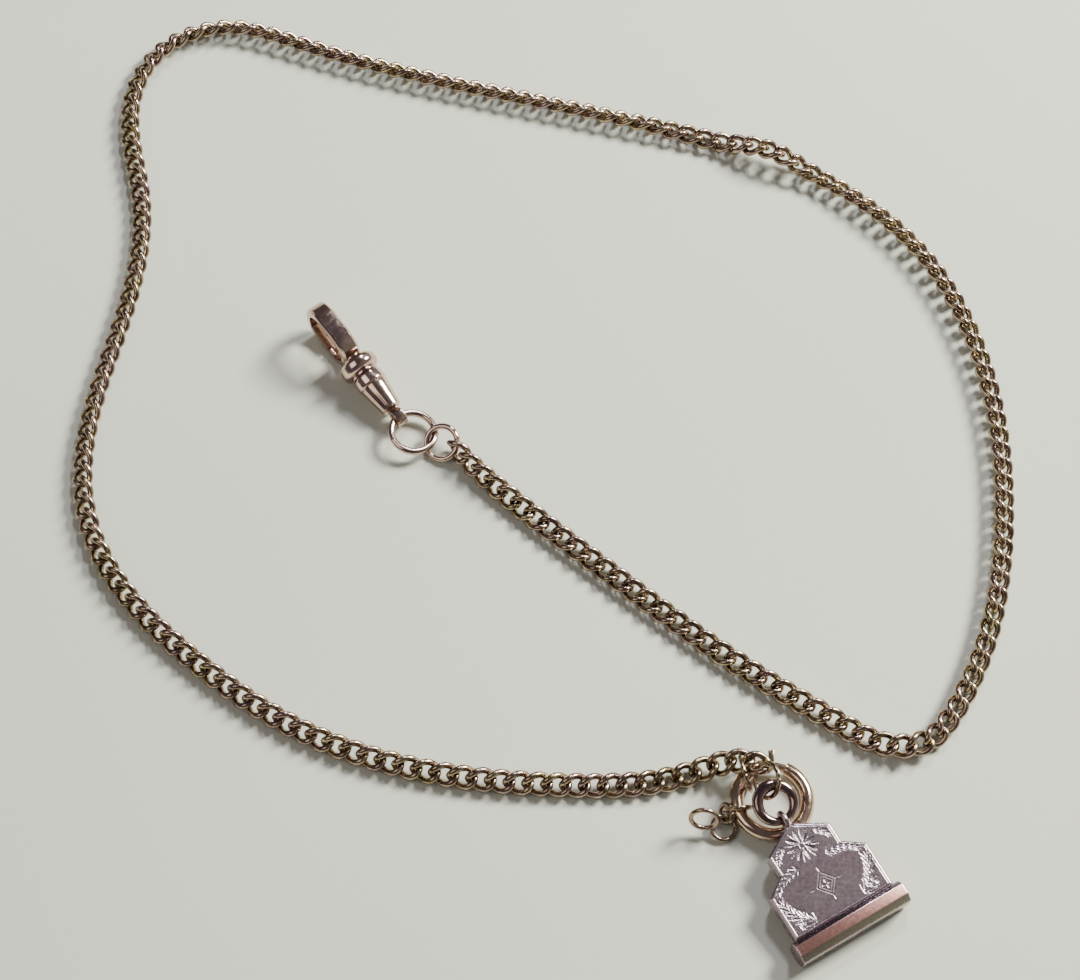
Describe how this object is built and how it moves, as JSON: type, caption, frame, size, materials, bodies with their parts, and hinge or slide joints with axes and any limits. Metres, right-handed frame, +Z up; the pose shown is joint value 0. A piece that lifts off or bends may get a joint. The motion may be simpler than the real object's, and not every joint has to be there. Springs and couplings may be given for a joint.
{
  "type": "pocket watch chain",
  "caption": "Curb-link pocket watch chain with a swivel clip, a spring-bolt ring and an engraved seal fob, laid out in an open loop.",
  "frame": {"origin": "middle of the laid-out chain's bounding box, on the table it lies on", "axes": "+Z up from the table, +X to the right of the layout, +Y away from the fob's end, towards the far side of the loop"},
  "size_m": [0.1161, 0.131, 0.0065],
  "materials": {
    "chain_gold": "polished",
    "clip_metal": "polished",
    "ring_gold": "polished",
    "bail_metal": "polished",
    "fob_metal": "satin",
    "spring_steel": "satin"
  },
  "bodies": {
    "run_01": {"chain_run_01": "chain_gold"},
    "run_02": {"chain_run_02": "chain_gold"},
    "run_03": {"chain_run_03": "chain_gold"},
    "run_04": {"chain_run_04": "chain_gold"},
    "run_05": {"chain_run_05": "chain_gold"},
    "run_06": {"chain_run_06": "chain_gold"},
    "run_07": {"chain_run_07": "chain_gold"},
    "run_08": {"chain_run_08": "chain_gold"},
    "run_09": {"chain_run_09": "chain_gold"},
    "run_10": {"chain_run_10": "chain_gold"},
    "run_11": {"chain_run_11": "chain_gold"},
    "run_12": {"chain_run_12": "chain_gold"},
    "run_13": {"chain_run_13": "chain_gold"},
    "run_14": {"chain_run_14": "chain_gold"},
    "small_jump_ring": {"jump_ring_small": "clip_metal"},
    "large_jump_ring": {"jump_ring_large": "clip_metal"},
    "swivel": {"swivel_collar": "clip_metal", "swivel_barrel": "clip_metal", "swivel_eye": "clip_metal", "swivel_stem": "clip_metal"},
    "hook": {"hook_frame": "clip_metal", "hook_collar": "clip_metal", "hook_washer": "clip_metal", "gate_pin": "clip_metal"},
    "gate": {"gate_lever": "clip_metal", "gate_spring": "clip_metal", "gate_stud": "clip_metal"},
    "end_ring": {"end_ring": "chain_gold"},
    "bolt_link": {"bolt_ring_link": "chain_gold"},
    "bolt_ring": {"bolt_ring_tube": "ring_gold", "bolt_ring_spring": "spring_steel"},
    "bolt": {"bolt_ring_bolt": "ring_gold", "bolt_ring_thumb_piece": "ring_gold"},
    "bail": {"fob_bail": "bail_metal"},
    "fob": {"fob_front_plate": "fob_metal", "fob_back_plate": "fob_metal", "fob_side_band": "fob_metal", "fob_base_bar": "fob_metal", "fob_neck_loop": "fob_metal"},
    "first_drop_link": {"drop_link_1": "chain_gold"},
    "second_drop_link": {"drop_link_2": "chain_gold"},
    "drop_ring": {"drop_ring": "chain_gold"},
    "drop_end_ring": {"drop_end_ring": "chain_gold"}
  },
  "joints": [
    {"name": "chain_bend_01", "type": "hinge", "parent": "run_02", "child": "run_01", "pos_m": [0.01204, -0.01936, 0.00092], "axis": [0, 0, -1], "range_deg": [-10, 10]},
    {"name": "chain_bend_02", "type": "hinge", "parent": "run_03", "child": "run_02", "pos_m": [0.03527, -0.036, 0.00112], "axis": [0.5314, 0.8471, 0], "range_deg": [-10, 10]},
    {"name": "chain_bend_03", "type": "hinge", "parent": "run_04", "child": "run_03", "pos_m": [0.05443, -0.02096, 0.00127], "axis": [0, 0, 1], "range_deg": [-10, 10]},
    {"name": "chain_bend_04", "type": "hinge", "parent": "run_05", "child": "run_04", "pos_m": [0.0562, 0.00743, 0.00127], "axis": [0.9917, 0.1288, 0], "range_deg": [-10, 10]},
    {"name": "chain_bend_05", "type": "hinge", "parent": "run_06", "child": "run_05", "pos_m": [0.04346, 0.03477, 0.00127], "axis": [0, 0, -1], "range_deg": [-10, 10]},
    {"name": "chain_bend_06", "type": "hinge", "parent": "run_07", "child": "run_06", "pos_m": [0.01857, 0.04731, 0.00104], "axis": [-0.2735, -0.9619, 0], "range_deg": [-10, 10]},
    {"name": "chain_bend_07", "type": "hinge", "parent": "run_07", "child": "run_08", "pos_m": [-0.01127, 0.05495, 0.00126], "axis": [0, 0, 1], "range_deg": [-10, 2.5]},
    {"name": "chain_bend_08", "type": "hinge", "parent": "run_08", "child": "run_09", "pos_m": [-0.04065, 0.06406, 0.00126], "axis": [0.0949, 0.9955, 0], "range_deg": [-10, 10]},
    {"name": "chain_bend_09", "type": "hinge", "parent": "run_09", "child": "run_10", "pos_m": [-0.05339, 0.04374, 0.00127], "axis": [0, 0, -1], "range_deg": [-2.5, 10]},
    {"name": "chain_bend_10", "type": "hinge", "parent": "run_10", "child": "run_11", "pos_m": [-0.0545, 0.01339, 0.00128], "axis": [0.9727, -0.2323, 0], "range_deg": [-10, 10]},
    {"name": "chain_bend_11", "type": "hinge", "parent": "run_11", "child": "run_12", "pos_m": [-0.05333, -0.01446, 0.00128], "axis": [0, 0, 1], "range_deg": [-10, 2.5]},
    {"name": "chain_bend_12", "type": "hinge", "parent": "run_12", "child": "run_13", "pos_m": [-0.03111, -0.03534, 0.00129], "axis": [-0.5061, -0.8625, 0], "range_deg": [-10, 10]},
    {"name": "chain_bend_13", "type": "hinge", "parent": "run_13", "child": "run_14", "pos_m": [-0.00388, -0.04325, 0.00129], "axis": [0, 0, -1], "range_deg": [-10, 10]},
    {"name": "small_jump_ring_swing", "type": "hinge", "parent": "run_01", "child": "small_jump_ring", "pos_m": [-0.01135, 0.00123, 0.00155], "axis": [0.3191, 0.2888, -0.9026], "range_deg": [-15, 45]},
    {"name": "large_jump_ring_swing", "type": "hinge", "parent": "small_jump_ring", "child": "large_jump_ring", "pos_m": [-0.01425, 0.00098, 0.00051], "axis": [0.3223, -0.9054, -0.2763], "range_deg": [-45, 0]},
    {"name": "clip_swing", "type": "hinge", "parent": "large_jump_ring", "child": "swivel", "pos_m": [-0.01783, 0.00481, 0.00168], "axis": [0.7934, 0.6088, 0], "range_deg": [-45, 45]},
    {"name": "swivel", "type": "hinge", "parent": "swivel", "child": "hook", "pos_m": [-0.02285, 0.01135, 0.00264], "axis": [0.6047, -0.788, -0.1156], "continuous": true},
    {"name": "gate", "type": "hinge", "parent": "hook", "child": "gate", "pos_m": [-0.02569, 0.01506, 0.00057], "axis": [0.7934, 0.6088, 0], "range_deg": [0, 30], "stiffness_Nm_per_rad": 0.002, "springref_deg": -8.59},
    {"name": "end_ring_swing", "type": "hinge", "parent": "run_14", "child": "end_ring", "pos_m": [0.02634, -0.04258, 0.00381], "axis": [0.4725, 0.5893, -0.6553], "range_deg": [-10, 0]},
    {"name": "bolt_link_swing", "type": "hinge", "parent": "end_ring", "child": "bolt_link", "pos_m": [0.02499, -0.04429, 0.00194], "axis": [0.2913, -0.956, 0.0345], "range_deg": [-5, 0]},
    {"name": "bolt_ring_swing", "type": "hinge", "parent": "bolt_link", "child": "bolt_ring", "pos_m": [0.02387, -0.04189, 0.00038], "axis": [0.3019, -0.8989, -0.3176], "range_deg": [-5, 0]},
    {"name": "bolt", "type": "hinge", "parent": "bolt_ring", "child": "bolt", "pos_m": [0.02672, -0.04541, 0.00117], "axis": [0.061, -0.0427, 0.9972], "range_deg": [0, 30], "stiffness_Nm_per_rad": 0.001, "springref_deg": -8.59},
    {"name": "bail_swing", "type": "hinge", "parent": "end_ring", "child": "bail", "pos_m": [0.02716, -0.04531, 0.00466], "axis": [0.2707, 0.6915, 0.6697], "range_deg": [-15, 0]},
    {"name": "fob_swing", "type": "hinge", "parent": "bail", "child": "fob", "pos_m": [0.02787, -0.04852, 0.00288], "axis": [0.8959, 0.4428, -0.0345], "range_deg": [-45, 5]},
    {"name": "first_drop_link_swing", "type": "hinge", "parent": "bolt_ring", "child": "first_drop_link", "pos_m": [0.02267, -0.04628, 0.00138], "axis": [-0.2062, 0.977, 0.0545], "range_deg": [-30, 5]},
    {"name": "second_drop_link_swing", "type": "hinge", "parent": "first_drop_link", "child": "second_drop_link", "pos_m": [0.02133, -0.04703, 0.00244], "axis": [0.4901, -0.1874, 0.8513], "range_deg": [-10, 5]},
    {"name": "drop_ring_swing", "type": "hinge", "parent": "second_drop_link", "child": "drop_ring", "pos_m": [0.02092, -0.0474, 0.00027], "axis": [0.3847, -0.9179, 0.0974], "range_deg": [-20, 12]},
    {"name": "drop_end_ring_swing", "type": "hinge", "parent": "drop_ring", "child": "drop_end_ring", "pos_m": [0.01968, -0.04874, 0.00082], "axis": [0.0196, -0.9813, -0.1914], "range_deg": [-20, 30]}
  ]
}
